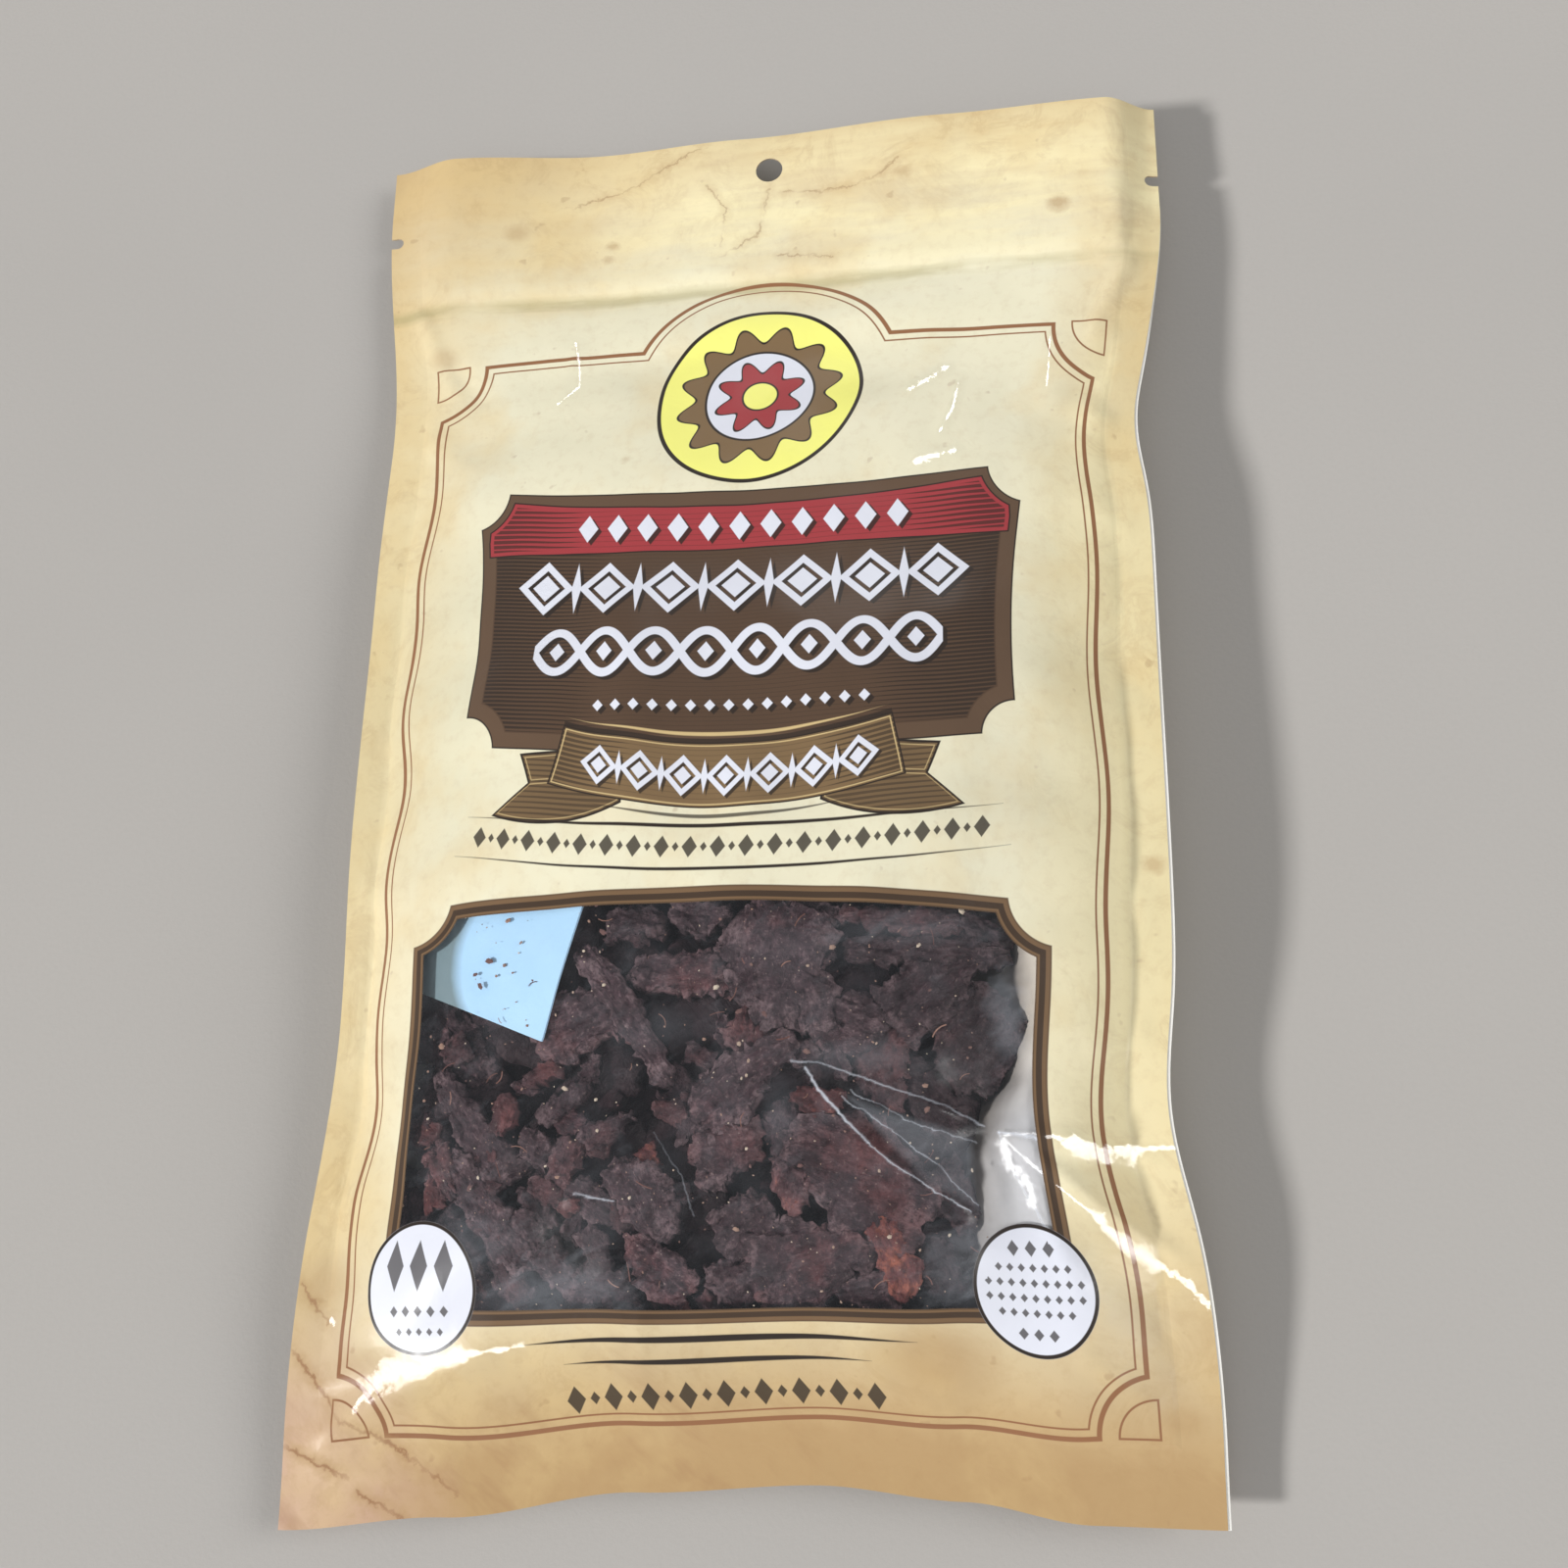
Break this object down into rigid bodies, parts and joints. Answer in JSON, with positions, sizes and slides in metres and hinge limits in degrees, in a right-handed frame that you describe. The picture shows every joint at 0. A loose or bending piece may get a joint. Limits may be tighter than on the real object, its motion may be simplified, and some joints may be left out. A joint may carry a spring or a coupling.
{
  "type": "pouch of beef jerky",
  "caption": "Flat, filled film pouch with welded edges, a press-to-close strip, a hang hole, tear notches and a clear window, lying on its back.",
  "frame": {"origin": "under the middle of the pouch's box, on the surface that it lies on", "axes": "+Z out of the printed front, +Y up the pouch towards its hang hole, +X to the right as it is read"},
  "size_m": [0.19, 0.321, 0.0424],
  "materials": {
    "printed_film": "satin film printed as aged cream parchment with brown frame lines, a brown label and a ribbon",
    "clear_film": "clear gloss film, pressed against what it holds",
    "inner_film": "pale, bare inner side of the printed film",
    "dried_beef": "dark red-brown dried meat with a torn fibrous grain and lighter frayed edges",
    "spice": "dry cracked grains and flakes, tan to rust",
    "sachet_paper": "thin pale blue-white sachet paper, a little translucent"
  },
  "bodies": {
    "root": {"pouch": "printed_film"}
  },
  "joints": []
}
